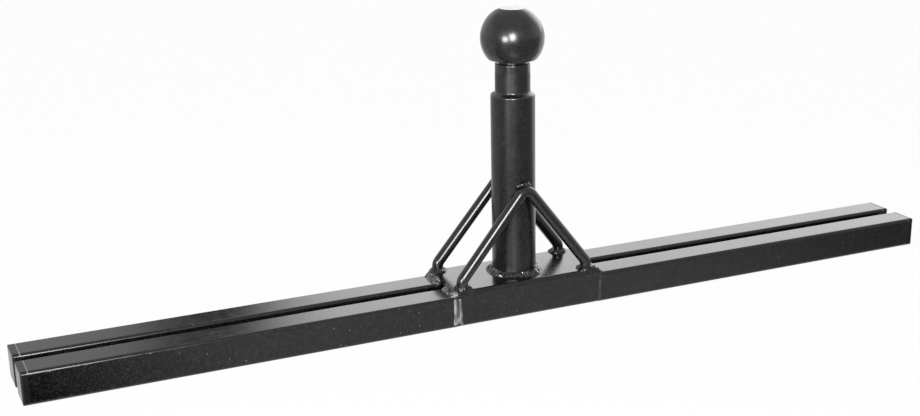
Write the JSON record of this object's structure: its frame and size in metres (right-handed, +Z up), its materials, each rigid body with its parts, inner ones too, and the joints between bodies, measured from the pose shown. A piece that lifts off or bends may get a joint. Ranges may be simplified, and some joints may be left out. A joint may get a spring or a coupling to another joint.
{
  "type": "tow ball mounting bar",
  "caption": "Coupling ball on a short post held by bent-rod braces, welded to a centre block on a bar of paired square tubes with bolt slots between them and plastic end caps.",
  "frame": {"origin": "middle of the bar's underside, below the post's axis", "axes": "+X along the bar, +Y from the front face to the rear face, +Z up along the post to the ball"},
  "size_m": [0.775, 0.062, 0.2399],
  "materials": {
    "steel": "satin black powder coat on steel tube and round bar",
    "ball": "smooth satin black coat on a turned steel ball",
    "weld": "black powder coat over rippled weld beads",
    "cap": "black moulded plastic, lightly grained"
  },
  "bodies": {
    "root": {"tow_ball": "ball", "post_tube": "steel", "centre_block": "steel", "rail_left_front": "steel", "rail_left_rear": "steel", "rail_right_front": "steel", "rail_right_rear": "steel", "end_cap_left_front": "cap", "end_cap_left_rear": "cap", "end_cap_right_front": "cap", "end_cap_right_rear": "cap", "brace_front": "steel", "brace_rear": "steel", "neck_weld": "weld", "post_base_weld": "weld", "apex_weld_front": "weld", "apex_weld_rear": "weld", "foot_weld_left_front": "weld", "foot_weld_left_rear": "weld", "foot_weld_right_front": "weld", "foot_weld_right_rear": "weld", "rail_weld_left_front": "weld", "rail_weld_left_rear": "weld", "rail_weld_right_front": "weld", "rail_weld_right_rear": "weld"}
  },
  "joints": []
}
